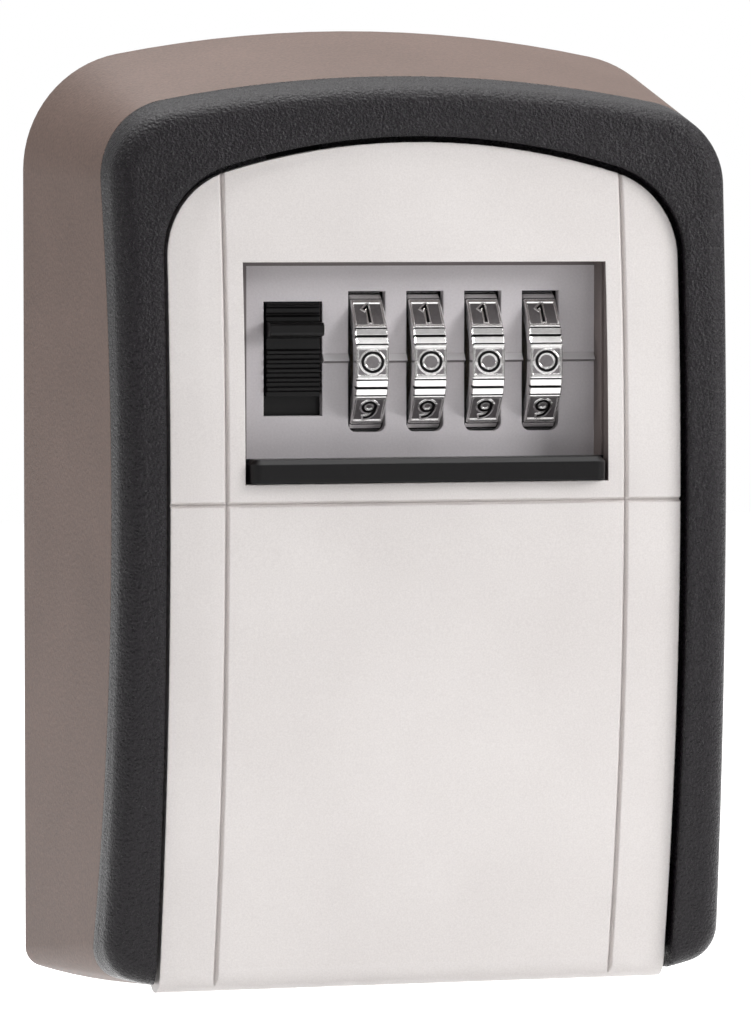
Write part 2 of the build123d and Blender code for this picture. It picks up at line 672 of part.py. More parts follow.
def push_bush():
    """Collar on the axle that the lever's ramp pushes against the first sleeve."""
    right = WHEEL_XS[0] - SLEEVE_LEFT - 0.2
    bush = rod_x(BUSH_LEFT, right, DIAL_DEPTH, DIAL_HEIGHT, BUSH_PASSAGE_R - 0.08)
    return bush - rod_x(BUSH_LEFT - 1, right + 1, DIAL_DEPTH, DIAL_HEIGHT, SLEEVE_BORE_R)


def release_slider():
    """Slider with its finger ledge and ribs; its slab runs behind the window plate."""
    left = SLIDER_X - SLAB_HALF
    right = SLIDER_X + SLAB_HALF
    fence_end = WHEEL_XS[-1] + 4.3
    slab = block(left, right, SLIDER_SLAB_REAR, SLIDER_SLAB_FRONT, SLIDER_SLAB_LOW, FENCE_HIGH)
    slab += block(left, fence_end, SLIDER_SLAB_REAR, SLIDER_SLAB_FRONT, FENCE_LOW, FENCE_HIGH)
    for x in WHEEL_XS:
        left = x + CAM_FROM + CAM_THICK / 2 - FINGER_WIDTH / 2
        right = left + FINGER_WIDTH
        slab += block(left, right, SLIDER_SLAB_REAR, SLIDER_SLAB_FRONT, FINGER_TIP, FENCE_HIGH)
    half = SLIDER_SLOT_WIDTH / 2 - 0.3
    top = SLIDER_HIGH - 0.1
    raised = block(SLIDER_X - half, SLIDER_X + half, SLIDER_SLAB_FRONT, TRAY_FACE + 0.1, BUTTON_LOW, top)
    for i in range(RIB_COUNT):
        height = RIB_LOW + i * RIB_PITCH
        rib = [
            (TRAY_FACE, height),
            (TRAY_FACE, height + 0.8),
            (TRAY_FACE + 0.5, height + 0.55),
            (TRAY_FACE + 0.5, height + 0.25),
        ]
        raised += extrude_x(rib, SLIDER_X - half, SLIDER_X + half)
    for height in TOP_RIB_HEIGHTS:
        rib = [(TRAY_FACE, height), (TRAY_FACE, height + 0.7), (TRAY_FACE + 0.4, height + 0.35)]
        raised += extrude_x(rib, SLIDER_X - half, SLIDER_X + half)
    ledge_front = TRAY_FACE + LEDGE_OUT
    ledge = [
        (TRAY_FACE, LEDGE_LOW),
        (ledge_front - 0.2, LEDGE_LOW + 0.4),
        (ledge_front, LEDGE_LOW + 0.7),
        (ledge_front, LEDGE_LOW + 1.6),
        (ledge_front - 0.3, LEDGE_LOW + 1.9),
        (TRAY_FACE, LEDGE_LOW + 2.1),
    ]
    raised += extrude_x(ledge, SLIDER_X - half, SLIDER_X + half)
    slider = slab + raised
    for height in RIVET_HEIGHTS:
        slider -= rod_y(SLIDER_X, 20, SLIDER_SLAB_FRONT - 0.4, height, RIVET_HOLE_R)
    return slider


def latch_bar():
    """Steel bar on the slider's back: a foot for the spring and a tongue on top."""
    bar = block(SLIDER_X - BAR_HALF, SLIDER_X + BAR_HALF, BAR_REAR, BAR_FRONT, BAR_FOOT, BAR_SHOULDER)
    bar += block(TONGUE_LEFT, TONGUE_RIGHT, BAR_REAR, BAR_FRONT, BAR_SHOULDER - 1, TONGUE_TOP)
    foot = block(TONGUE_LEFT, TONGUE_RIGHT, 18.6, BAR_FRONT, BAR_FOOT, BAR_FOOT + 1.2)
    bar += foot
    for height in RIVET_HEIGHTS:
        bar -= rod_y(SLIDER_X, 20, 26, height, RIVET_HOLE_R)
    return bar


def slider_rivets():
    rivets = []
    for height in RIVET_HEIGHTS:
        shank = rod_y(SLIDER_X, BAR_REAR, SLIDER_SLAB_FRONT - 0.4, height, RIVET_HOLE_R - 0.02)
        rivets.append(shank + rod_y(SLIDER_X, BAR_REAR - 0.5, BAR_REAR, height, RIVET_HEAD_R))
    return Compound(rivets)


def slider_spring():
    """Coil spring that stands on the housing's floor and lifts the latch bar."""
    low = HOUSING_LOW + HOUSING_WALL + SPRING_WIRE_R
    high = BAR_FOOT - SPRING_WIRE_R
    radius = SPRING_COIL_R - SPRING_WIRE_R
    path = Helix(pitch=(high - low) / SPRING_TURNS, height=high - low, radius=radius)
    path = Pos(place(SLIDER_X, SPRING_DEPTH, low)) * path
    wire = Plane(origin=path @ 0, z_dir=path % 0) * Circle(SPRING_WIRE_R)
    return sweep(wire, path=path, is_frenet=True)


def shutter():
    """Sliding cover: a thin panel behind the door's face and the finger lip on top."""
    panel = block(-SHUTTER_HALF, SHUTTER_HALF, SHUTTER_REAR, SHUTTER_FRONT, SHUTTER_LOW, LIP_TOP)
    lip = block(-LIP_HALF, LIP_HALF, SHUTTER_FRONT - 0.1, LIP_FRONT, LIP_LOW, LIP_TOP)
    ends = lip.edges().filter_by(Axis.Z).group_by(Axis.Y)[0]
    lip = fillet(ends, LIP_CORNER_R)
    top = lip.faces().sort_by(Axis.Y)[0].edges().sort_by(Axis.Z)
    lip = chamfer(top[-1], LIP_BEVEL)
    return panel + lip


def code_lever():
    """Lever on the rear cover for changing the code, with its inner ramp."""
    x = LEVER_X
    knob = block(x - 1.5, x + 1.5, KNOB_REAR, COVER_REAR - 0.2, LEVER_HEIGHT - 3.0, LEVER_HEIGHT + 3.0)
    knob = fillet(knob.edges().filter_by(Axis.Y), 0.8)
    low = LEVER_HEIGHT - STEM_HALF
    high = LEVER_HEIGHT + STEM_HALF
    inner = COVER_FRONT + 0.3
    stem = block(x - STEM_HALF, x + STEM_HALF, COVER_REAR - 0.2, inner, low, high)
    plate = block(x - 3.0, x + 3.0, inner, inner + 1.2, LEVER_HEIGHT - 4.0, LEVER_HEIGHT + 4.0)
    return knob + stem + plate + lever_ramp(x)


def lever_ramp(x):
    """Sloping tooth that points towards the bush."""
    low = LEVER_HEIGHT - RAMP_TALL / 2
    corners = [
        place(x - 1.0, COVER_FRONT + 1.4, low),
        place(x + 2.6, COVER_FRONT + 1.4, low),
        place(x + 0.6, RAMP_FRONT, low),
        place(x - 1.0, RAMP_FRONT, low),
    ]
    return extrude(make_face(Polyline(*corners, close=True)), amount=RAMP_TALL, dir=(0, 0, 1))


def main():
    os.makedirs("parts", exist_ok=True)
    body = outer_block()
    nodes = {
        "rear_casing": rear_casing(body),
        "front_frame": front_frame(body),
        "frame_screws": frame_screws(),
        "hinge_pin": hinge_pin(),
        "catch_plate": catch_plate(),
        "catch_screws": catch_screws(),
        "key_hook": key_hook(),
        "hook_screw": hook_screw(),
        "door_plate": door_plate(),
        "window_plate": window_plate(),
        "lock_housing": lock_housing(),
        "housing_screws": housing_screws(),
        "lock_cover": lock_cover(),
        "cover_screws": cover_screws(),
        "dial_axle": dial_axle(),
        "detent_spring": detent_spring(),
        "push_bush": push_bush(),
        "release_slider": release_slider(),
        "latch_bar": latch_bar(),
        "slider_rivets": slider_rivets(),
        "slider_spring": slider_spring(),
        "shutter": shutter(),
        "code_lever": code_lever(),
    }
    for i, x in enumerate(WHEEL_XS):
        nodes[f"number_wheel_{i + 1}"] = number_wheel(x)
        nodes[f"code_sleeve_{i + 1}"] = code_sleeve(x)
    for name, shape in nodes.items():
        export_step(shape, f"parts/{name}.step")


main()
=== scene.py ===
import bpy
import bmesh
import math
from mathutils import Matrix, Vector


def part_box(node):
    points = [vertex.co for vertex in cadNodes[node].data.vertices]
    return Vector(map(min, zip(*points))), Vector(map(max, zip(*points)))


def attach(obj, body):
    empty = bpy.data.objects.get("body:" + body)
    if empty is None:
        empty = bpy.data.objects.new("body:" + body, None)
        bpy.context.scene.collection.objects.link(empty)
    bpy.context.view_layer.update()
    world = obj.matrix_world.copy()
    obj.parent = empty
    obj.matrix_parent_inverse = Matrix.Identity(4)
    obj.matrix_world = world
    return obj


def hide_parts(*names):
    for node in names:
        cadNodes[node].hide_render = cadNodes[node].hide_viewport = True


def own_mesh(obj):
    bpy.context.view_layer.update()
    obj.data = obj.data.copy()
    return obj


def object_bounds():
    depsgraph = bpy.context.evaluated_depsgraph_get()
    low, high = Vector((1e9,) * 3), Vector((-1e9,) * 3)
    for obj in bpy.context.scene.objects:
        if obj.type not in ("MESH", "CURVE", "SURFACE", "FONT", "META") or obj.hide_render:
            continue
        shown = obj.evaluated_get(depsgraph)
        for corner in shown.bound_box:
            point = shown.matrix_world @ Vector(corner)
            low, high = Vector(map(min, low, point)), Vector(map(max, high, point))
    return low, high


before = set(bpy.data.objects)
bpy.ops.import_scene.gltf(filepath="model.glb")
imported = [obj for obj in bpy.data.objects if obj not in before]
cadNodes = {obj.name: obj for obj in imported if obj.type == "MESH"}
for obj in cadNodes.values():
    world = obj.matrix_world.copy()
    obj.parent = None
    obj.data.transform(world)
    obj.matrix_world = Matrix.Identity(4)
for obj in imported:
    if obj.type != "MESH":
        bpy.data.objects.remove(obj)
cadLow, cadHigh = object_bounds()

mm = 0.001
rampFrom, rampTo = 0.3, 0.7       # where a noise's dark and light ends stand on a colour ramp
bevelSamples = 4
tiny = 1e-6


# Camera: stands a little to the object's left and slightly above the middle.
cameraView = {
    "turn": -15.197,          # degrees round the object, minus is to its left
    "lift": 3.003,            # degrees above the horizon
    "lookAt": (2.55, 0.0, -0.725),
    "distance": 744.04,
    "lens": 210.43,
    "sensor": 36,
    "clipStart": 0.01,
}


def makeCamera(c):
    turn, lift = math.radians(c["turn"]), math.radians(c["lift"])
    back = Vector((math.sin(turn) * math.cos(lift), -math.cos(turn) * math.cos(lift), math.sin(lift)))
    lens = bpy.data.cameras.new("photoCamera")
    lens.lens = c["lens"]
    lens.sensor_width = c["sensor"]
    lens.clip_start = c["clipStart"]
    cam = bpy.data.objects.new("photoCamera", lens)
    bpy.context.scene.collection.objects.link(cam)
    cam.location = (Vector(c["lookAt"]) + back * c["distance"]) * mm
    cam.rotation_mode = "QUATERNION"
    cam.rotation_quaternion = (-back).to_track_quat("-Z", "Y")
    bpy.context.scene.camera = cam


makeCamera(cameraView)
print("camera ready")


# Materials are built from shader nodes; each recipe holds what a user would change.
def startMaterial(name):
    mat = bpy.data.materials.new(name)
    mat.use_nodes = True
    nodes, links = mat.node_tree.nodes, mat.node_tree.links
    nodes.clear()
    out = nodes.new("ShaderNodeOutputMaterial")
    shader = nodes.new("ShaderNodeBsdfPrincipled")
    links.new(shader.outputs["BSDF"], out.inputs["Surface"])
    coords = nodes.new("ShaderNodeTexCoord")
    return mat, nodes, links, shader, coords.outputs["Object"]


def addNoise(nodes, links, where, perMm, detail=2.0, rough=0.5):
    noise = nodes.new("ShaderNodeTexNoise")
    noise.inputs["Scale"].default_value = perMm / mm
    noise.inputs["Detail"].default_value = detail
    noise.inputs["Roughness"].default_value = rough
    links.new(where, noise.inputs["Vector"])
    return noise.outputs["Fac"]


def addRamp(nodes, links, value, stops):
    ramp = nodes.new("ShaderNodeValToRGB")
    elements = ramp.color_ramp.elements
    while len(elements) < len(stops):
        elements.new(0.5)
    for element, (place, colour) in zip(elements, stops):
        element.position = place
        element.color = colour
    links.new(value, ramp.inputs["Fac"])
    return ramp.outputs["Color"]


def addMath(nodes, links, kind, a, b):
    step = nodes.new("ShaderNodeMath")
    step.operation = kind
    for socket, value in zip(step.inputs, (a, b)):
        if isinstance(value, (int, float)):
            socket.default_value = value
        else:
            links.new(value, socket)
    return step.outputs["Value"]


def addRange(nodes, links, value, low, high, fromLow=0.0, fromHigh=1.0):
    node = nodes.new("ShaderNodeMapRange")
    node.inputs["From Min"].default_value = fromLow
    node.inputs["From Max"].default_value = fromHigh
    node.inputs["To Min"].default_value = low
    node.inputs["To Max"].default_value = high
    links.new(value, node.inputs["Value"])
    return node.outputs["Result"]


# Grain over the surface, with edges that look rounded to a radius in millimetres.
def addBump(nodes, links, shader, height, strength, depth, edge):
    bump = nodes.new("ShaderNodeBump")
    bump.inputs["Strength"].default_value = strength
    bump.inputs["Distance"].default_value = depth * mm
    links.new(height, bump.inputs["Height"])
    bevel = nodes.new("ShaderNodeBevel")
    bevel.samples = bevelSamples
    bevel.inputs["Radius"].default_value = edge * mm
    links.new(bevel.outputs["Normal"], bump.inputs["Normal"])
    links.new(bump.outputs["Normal"], shader.inputs["Normal"])


# One inside a box given by its low and high corners in millimetres, nought outside it.
def addBoxMask(nodes, links, where, low, high):
    parts = nodes.new("ShaderNodeSeparateXYZ")
    links.new(where, parts.inputs["Vector"])
    mask = None
    for axis, a, b in zip("XYZ", low, high):
        value = parts.outputs[axis]
        inside = addMath(nodes, links, "MULTIPLY", addMath(nodes, links, "GREATER_THAN", value, a * mm),
                         addMath(nodes, links, "LESS_THAN", value, b * mm))
        mask = inside if mask is None else addMath(nodes, links, "MULTIPLY", mask, inside)
    return mask


# Sockets 6 and 7 are the mix node's two colours, and output 2 is its colour.
def mixColour(nodes, links, share, first, second):
    mix = nodes.new("ShaderNodeMix")
    mix.data_type = "RGBA"
    links.new(share, mix.inputs["Factor"])
    links.new(first, mix.inputs[6])
    mix.inputs[7].default_value = second
    return mix.outputs[2]


def colourOf(r, g, b):
    parts = []
    for v in (r, g, b):
        v = v / 255
        parts.append(v / 12.92 if v <= 0.04045 else ((v + 0.055) / 1.055) ** 2.4)
    return (*parts, 1)


# A paint has broad patches, fine specks that also change its gloss, and a bumped grain. Sizes are
# features per millimetre, and shade-and-highlight bands are boxes in millimetres of painted shade or a
# painted highlight.
def texturedPaint(name, recipe):
    mat, nodes, links, shader, where = startMaterial(name)
    patch = addNoise(nodes, links, where, recipe["patchPerMm"], 3.0)
    speck = addNoise(nodes, links, where, recipe["speckPerMm"], 2.0, 0.7)
    mixed = addMath(nodes, links, "ADD", addMath(nodes, links, "MULTIPLY", patch, recipe["patchShare"]),
                    addMath(nodes, links, "MULTIPLY", speck, 1 - recipe["patchShare"]))
    colour = addRamp(nodes, links, mixed, [(rampFrom, colourOf(*recipe["dark"])),
                                           (rampTo, colourOf(*recipe["light"]))])
    # painted shade and painted highlights: boxes of flat colour laid over the paint
    for low, high, tone in recipe.get("shadeAndHighlightBands", ()):
        colour = mixColour(nodes, links, addBoxMask(nodes, links, where, low, high), colour, colourOf(*tone))
    links.new(colour, shader.inputs["Base Color"])
    links.new(addRange(nodes, links, speck, *recipe["roughness"]), shader.inputs["Roughness"])
    shader.inputs["Metallic"].default_value = recipe["metal"]
    shader.inputs["Specular IOR Level"].default_value = recipe.get("shine", 0.5)
    grain = addNoise(nodes, links, where, recipe["grainPerMm"], 2.0, 0.6)
    addBump(nodes, links, shader, grain, recipe["bump"], recipe["bumpDepth"], recipe["edge"])
    return mat


paints = {
    "casingPaint": {
        "dark": (86, 68, 60), "light": (123, 102, 93), "metal": 0.1, "roughness": (0.42, 0.56), "shine": 0.42,
        "patchPerMm": 0.05, "speckPerMm": 3.0, "patchShare": 0.25,
        "grainPerMm": 2.2, "bump": 0.35, "bumpDepth": 0.12, "edge": 0.4,
    },
    "frameTexture": {
        "dark": (11, 8, 12), "light": (31, 26, 31), "metal": 0.0, "roughness": (0.2, 0.36), "shine": 0.24,
        "patchPerMm": 0.06, "speckPerMm": 2.4, "patchShare": 0.2,
        "grainPerMm": 3.0, "bump": 0.8, "bumpDepth": 0.28, "edge": 1.4,
    },
    "doorSilver": {
        # painted shade on the cut edges of the window opening
        "shadeAndHighlightBands": [((-22.37, -33.6, 4.4), (-22.3, -20.0, 30.7), (112, 101, 98)),
                  ((22.3, -33.6, 4.4), (22.37, -20.0, 30.7), (112, 101, 98)),
                  ((-22.37, -33.6, 30.6), (22.37, -20.0, 30.67), (112, 101, 98))],
        "dark": (215, 209, 207), "light": (234, 229, 227),
        "metal": 0.15, "roughness": (0.4, 0.52), "shine": 0.4,
        "patchPerMm": 0.04, "speckPerMm": 5.0, "patchShare": 0.45,
        "grainPerMm": 6.0, "bump": 0.1, "bumpDepth": 0.03, "edge": 0.25,
    },
    "windowGrey": {
        # painted shade: the rim's inner walls are coloured darker and browner than the plate
        "shadeAndHighlightBands": [((-23.6, -31.0, 3.2), (-22.3, -27.55, 31.9), (112, 101, 98)),
                  ((22.3, -31.0, 3.2), (23.6, -27.55, 31.9), (112, 101, 98)),
                  ((-23.6, -31.0, 30.62), (23.6, -27.55, 31.9), (112, 101, 98)),
                  # painted shade along the left and top edges of the plate
                  ((-22.6, -27.62, 4.0), (-20.8, -27.4, 30.62), (112, 104, 104)),
                  ((-22.6, -27.62, 30.2), (23.6, -27.4, 30.62), (112, 104, 104)),
                  # a painted highlight on the index ridge's upper side and painted shade on its lower side
                  ((-11.4, -28.6, 18.87), (22.3, -27.52, 19.72), (232, 229, 231)),
                  ((-11.4, -28.6, 18.3), (22.3, -27.52, 18.87), (112, 106, 108))],
        "dark": (198, 193, 196), "light": (213, 208, 211), "metal": 0.0, "roughness": (0.4, 0.5),
        "patchPerMm": 0.08, "speckPerMm": 4.0, "patchShare": 0.4,
        "grainPerMm": 4.0, "bump": 0.1, "bumpDepth": 0.04, "edge": 0.25,
    },
    "housingCasting": {
        "dark": (118, 118, 120), "light": (150, 150, 152), "metal": 0.6, "roughness": (0.45, 0.6),
        "patchPerMm": 0.1, "speckPerMm": 2.0, "patchShare": 0.5,
        "grainPerMm": 2.5, "bump": 0.3, "bumpDepth": 0.08, "edge": 0.3,
    },
    "coverBlack": {
        "dark": (30, 30, 31), "light": (44, 44, 46), "metal": 0.2, "roughness": (0.45, 0.6),
        "patchPerMm": 0.1, "speckPerMm": 3.0, "patchShare": 0.3,
        "grainPerMm": 3.0, "bump": 0.25, "bumpDepth": 0.06, "edge": 0.25,
    },
    "satinBlack": {
        "dark": (7, 6, 7), "light": (16, 14, 15), "metal": 0.0, "roughness": (0.26, 0.38), "shine": 0.24,
        "patchPerMm": 0.15, "speckPerMm": 5.0, "patchShare": 0.4,
        "grainPerMm": 4.0, "bump": 0.08, "bumpDepth": 0.03, "edge": 0.2,
    },
    "zincPlate": {
        "dark": (150, 150, 148), "light": (192, 192, 190), "metal": 1.0, "roughness": (0.25, 0.42),
        "patchPerMm": 0.4, "speckPerMm": 3.0, "patchShare": 0.6,
        "grainPerMm": 3.0, "bump": 0.15, "bumpDepth": 0.03, "edge": 0.15,
    },
    "blackedSteel": {
        "dark": (22, 21, 21), "light": (40, 38, 38), "metal": 0.4, "roughness": (0.45, 0.6), "shine": 0.2,
        "patchPerMm": 0.4, "speckPerMm": 3.0, "patchShare": 0.5,
        "grainPerMm": 3.0, "bump": 0.15, "bumpDepth": 0.03, "edge": 0.15,
    },
    "springSteel": {
        "dark": (120, 116, 108), "light": (160, 155, 146), "metal": 1.0, "roughness": (0.25, 0.4),
        "patchPerMm": 0.5, "speckPerMm": 4.0, "patchShare": 0.5,
        "grainPerMm": 4.0, "bump": 0.1, "bumpDepth": 0.02, "edge": 0.1,
    },
    "turnedBrass": {
        "dark": (112, 92, 56), "light": (150, 126, 82), "metal": 1.0, "roughness": (0.36, 0.5),
        "patchPerMm": 0.3, "speckPerMm": 3.0, "patchShare": 0.5,
        "grainPerMm": 3.0, "bump": 0.1, "bumpDepth": 0.02, "edge": 0.1,
    },
    "wheelChrome": {
        "dark": (214, 212, 211), "light": (235, 233, 232), "metal": 0.85, "roughness": (0.14, 0.22),
        "patchPerMm": 0.5, "speckPerMm": 3.0, "patchShare": 0.5,
        "grainPerMm": 3.0, "bump": 0.06, "bumpDepth": 0.02, "edge": 0.12,
    },
    # painted dark reflection: the sunk fields are coloured darker than the chrome
    "wheelFieldReflection": {
        "dark": (104, 100, 102), "light": (132, 128, 129), "metal": 0.6, "roughness": (0.28, 0.4),
        "patchPerMm": 0.6, "speckPerMm": 4.0, "patchShare": 0.5,
        "grainPerMm": 5.0, "bump": 0.1, "bumpDepth": 0.02, "edge": 0.05,
    },
    # painted shade: the grooves between the digits are coloured near-black
    "wheelGrooveShade": {
        "dark": (34, 32, 33), "light": (62, 59, 60), "metal": 0.7, "roughness": (0.35, 0.5),
        "patchPerMm": 0.6, "speckPerMm": 4.0, "patchShare": 0.5,
        "grainPerMm": 5.0, "bump": 0.1, "bumpDepth": 0.02, "edge": 0.05,
    },
    "figureInk": {
        "dark": (8, 7, 8), "light": (16, 14, 15), "metal": 0.0, "roughness": (0.35, 0.5), "shine": 0.12,
        "patchPerMm": 0.6, "speckPerMm": 5.0, "patchShare": 0.5,
        "grainPerMm": 5.0, "bump": 0.1, "bumpDepth": 0.02, "edge": 0.03,
    },
}
finishes = {name: texturedPaint(name, recipe) for name, recipe in paints.items()}
print("finishes ready:", len(finishes))


nodeFinish = {
    "rear_casing": "casingPaint", "front_frame": "frameTexture", "frame_screws": "zincPlate",
    "hinge_pin": "zincPlate", "catch_plate": "blackedSteel", "catch_screws": "blackedSteel",
    "key_hook": "zincPlate", "hook_screw": "zincPlate", "door_plate": "doorSilver",
    "window_plate": "windowGrey", "lock_housing": "housingCasting", "housing_screws": "zincPlate",
    "lock_cover": "coverBlack", "cover_screws": "zincPlate", "dial_axle": "zincPlate",
    "detent_spring": "springSteel", "push_bush": "turnedBrass", "release_slider": "satinBlack",
    "latch_bar": "zincPlate", "slider_rivets": "zincPlate", "slider_spring": "springSteel",
    "shutter": "satinBlack", "code_lever": "satinBlack",
}
for i in range(1, 5):
    nodeFinish[f"number_wheel_{i}"] = "wheelChrome"
    nodeFinish[f"code_sleeve_{i}"] = "turnedBrass"
for node, finish in nodeFinish.items():
    slots = cadNodes[node].data.materials
    if not slots:
        slots.append(finishes[finish])
    for i in range(len(slots)):
        slots[i] = finishes[finish]
print("nodes finished:", len(nodeFinish))


def finishMesh(bm, name, finishNames):
    mesh = bpy.data.meshes.new(name)
    bm.to_mesh(mesh)
    bm.free()
    for finish in finishNames:
        mesh.materials.append(finishes[finish])
    piece = bpy.data.objects.new(name, mesh)
    bpy.context.scene.collection.objects.link(piece)
    return piece


# Number wheels: each rim has ten framed flats with sunk fields, grooves between them and its figures; the
# fields are coloured as a painted dark reflection and the grooves as painted shade.
# Lengths are in millimetres and angles in degrees from the middle of a digit's flat.
wheelLook = {
    "radius": 10.0, "flat": 9.8, "halfWidth": 2.0, "bore": 3.9, "axisDepth": 20.5, "axisHeight": 18.75,
    "firstX": -6.0, "pitch": 7.2, "digitTurn": 36,
    "flatAngle": 10.5, "landAngles": (11.0, 14.5), "edgeBevel": 0.14,
    "fieldFrom": (9.2, 1.72), "fieldTo": (8.6, 1.62), "fieldSunk": 0.13,    # (angle, half width)
    "hub": (8.3, 5.0, 0.25), "hubChamfer": 0.15,                            # outer, inner radius, depth
    "keyway": (7.6, 4.7, 1.3), "keyAngle": 90, "keyChamfer": 0.05,          # half angle, radius, depth
    "thinGroove": (12.3, 0.5, 0.18), "middleGroove": (18.0, 0.9, 0.55),     # angle, half width, depth
    "inkWidth": 0.36, "inkProud": 0.12, "rimWidth": 0.82, "rimProud": 0.08, # a figure and its raised rim
    "strokeRoot": 0.03, "strokeBevel": (0.05, 0.04), "smoothAngle": 18,
}
wheelFinishes = ("wheelChrome", "wheelFieldReflection", "wheelGrooveShade", "figureInk")
fieldEdge, rimEdges = 3, 7        # the section's edge that is the field, and how many lie on the rim


# Stations round one digit's share of the rim: angle from the flat's middle, kind and crown radius.
def rimStations(w):
    thin, middle = w["thinGroove"], w["middleGroove"]
    half = [
        (w["fieldTo"][0], "field"), (w["fieldFrom"][0], "flat"), (w["flatAngle"], "flat"),
        (w["landAngles"][0], "land"), (thin[0] - thin[1], "land"), (thin[0], "thin"),
        (thin[0] + thin[1], "land"), (w["landAngles"][1], "land"), (middle[0] - middle[1], "land"),
        (middle[0] - middle[1] / 2, "middle"),
    ]
    drop = {"land": 0.0, "thin": thin[2], "middle": middle[2]}
    both = [(-angle, kind) for angle, kind in reversed(half)] + half + [(middle[0], "middle")]
    stations = []
    for angle, kind in both:
        if kind in drop:
            crown = w["radius"] - drop[kind]
        else:
            crown = w["flat"] / math.cos(math.radians(angle))
        stations.append((angle, kind, crown))
    return stations


# One loop of (x, radius) points round the ring's section at a station.
def ringSection(w, kind, crown, inKeyway):
    half, hubOut, hubIn, hubSunk = w["halfWidth"], *w["hub"]
    hubTop, hubFoot = hubOut - w["hubChamfer"], hubIn + w["hubChamfer"]
    keyOut = w["keyway"][1] if inKeyway else w["bore"]
    keyEnd = half - w["keyway"][2]
    sunk = w["fieldSunk"] if kind == "field" else 0.0
    outer, inner = w["fieldFrom"][1], w["fieldTo"][1]
    low = crown - w["edgeBevel"]
    return [
        (-half, low), (-half + w["edgeBevel"], crown), (-outer, crown), (-inner, crown - sunk),
        (inner, crown - sunk), (outer, crown), (half - w["edgeBevel"], crown), (half, low),
        (half, hubOut), (half - hubSunk, hubTop), (half - hubSunk, hubFoot), (half, hubIn),
        (half, keyOut), (keyEnd, keyOut), (keyEnd - w["keyChamfer"], w["bore"]), (-half, w["bore"]),
        (-half, hubIn), (-half + hubSunk, hubFoot), (-half + hubSunk, hubTop), (-half, hubOut),
    ]


# A point of a wheel in metres: angle 0 faces the front, and the angle grows upwards.
def rimPoint(w, centreX, x, radius, angle):
    turn = math.radians(angle)
    return Vector((centreX + x, -w["axisDepth"] - radius * math.cos(turn),
                   w["axisHeight"] + radius * math.sin(turn))) * mm


def addWheelRing(bm, w, centreX):
    loops, kinds = [], []
    for digit in range(360 // w["digitTurn"]):
        for angle, kind, crown in rimStations(w):
            turn = digit * w["digitTurn"] + angle
            section = ringSection(w, kind, crown, abs(turn - w["keyAngle"]) <= w["keyway"][0])
            loops.append([bm.verts.new(rimPoint(w, centreX, x, radius, turn)) for x, radius in section])
            kinds.append(kind)
    for i, loop in enumerate(loops):
        following = loops[(i + 1) % len(loops)]
        pair = (kinds[i], kinds[(i + 1) % len(loops)])
        for j in range(len(loop)):
            k = (j + 1) % len(loop)
            face = bm.faces.new((loop[j], loop[k], following[k], following[j]))
            # sunk field faces get the painted dark reflection
            if j == fieldEdge and pair == ("field", "field"):
                face.material_index = wheelFinishes.index("wheelFieldReflection")
            # groove faces get the painted shade
            elif j < rimEdges and ("middle" in pair or "thin" in pair):
                face.material_index = wheelFinishes.index("wheelGrooveShade")


# Points on an oval about a middle, from one angle to another in degrees.
def arc(middle, wide, tall, start, end, steps=14):
    points = []
    for i in range(steps + 1):
        turn = math.radians(start + (end - start) * i / steps)
        points.append((middle[0] + wide * math.cos(turn), middle[1] + tall * math.sin(turn)))
    return points


# Middle lines of the figures in millimetres, upright about the flat's middle.
figureLines = {
    "0": [arc((0, 0), 1.24, 1.14, 0, 360, 28)],
    "1": [[(-0.42, 0.72), (0.0, 1.14), (0.0, -1.14)]],
    "2": [arc((0, 0.48), 0.78, 0.66, 165, -35) + [(-0.78, -1.14), (0.82, -1.14)]],
    "3": [arc((0, 0.55), 0.68, 0.59, 155, -80) + arc((0, -0.53), 0.78, 0.61, 80, -155)],
    "4": [[(0.34, -1.14), (0.34, 1.14), (-0.82, -0.42), (0.82, -0.42)]],
    "5": [[(0.68, 1.14), (-0.56, 1.14), (-0.66, 0.12)]
          + arc((0, -0.42), 0.78, 0.72, 130, -140)],
    "6": [arc((0, -0.44), 0.78, 0.7, 0, 360, 24),
          [(-0.78, -0.44)] + arc((0.45, -0.1), 1.2, 1.24, 170, 95, 10)],
    "7": [[(-0.78, 1.14), (0.8, 1.14), (-0.2, -1.14)]],
    "8": [arc((0, 0.57), 0.62, 0.57, 0, 360, 22), arc((0, -0.53), 0.76, 0.61, 0, 360, 24)],
}
figureLines["9"] = [[(-x, -y) for x, y in line] for line in figureLines["6"]]


# Points beside a middle line, mitred where it bends but never to more than twice the reach.
def besideLine(line, closed, reach):
    sides = []
    last = len(line) - 1
    for i, (x, y) in enumerate(line):
        before = line[i - 1] if i else (line[last - 1] if closed else line[i])
        after = line[i + 1] if i < last else (line[1] if closed else line[i])
        first = Vector((x - before[0], y - before[1]))
        second = Vector((after[0] - x, after[1] - y))
        first = (first if first.length > tiny else second).normalized()
        second = (second if second.length > tiny else first).normalized()
        middle = (first + second).normalized()
        normal = Vector((-middle.y, middle.x))
        out = normal * reach / max(0.5, normal.dot(Vector((-first.y, first.x))))
        sides.append((Vector((x, y)) + out, Vector((x, y)) - out))
    return sides


# The end of a line, drawn out by half its width.
def drawnOut(end, before, width):
    return tuple(Vector(end) + (Vector(end) - Vector(before)).normalized() * width / 2)


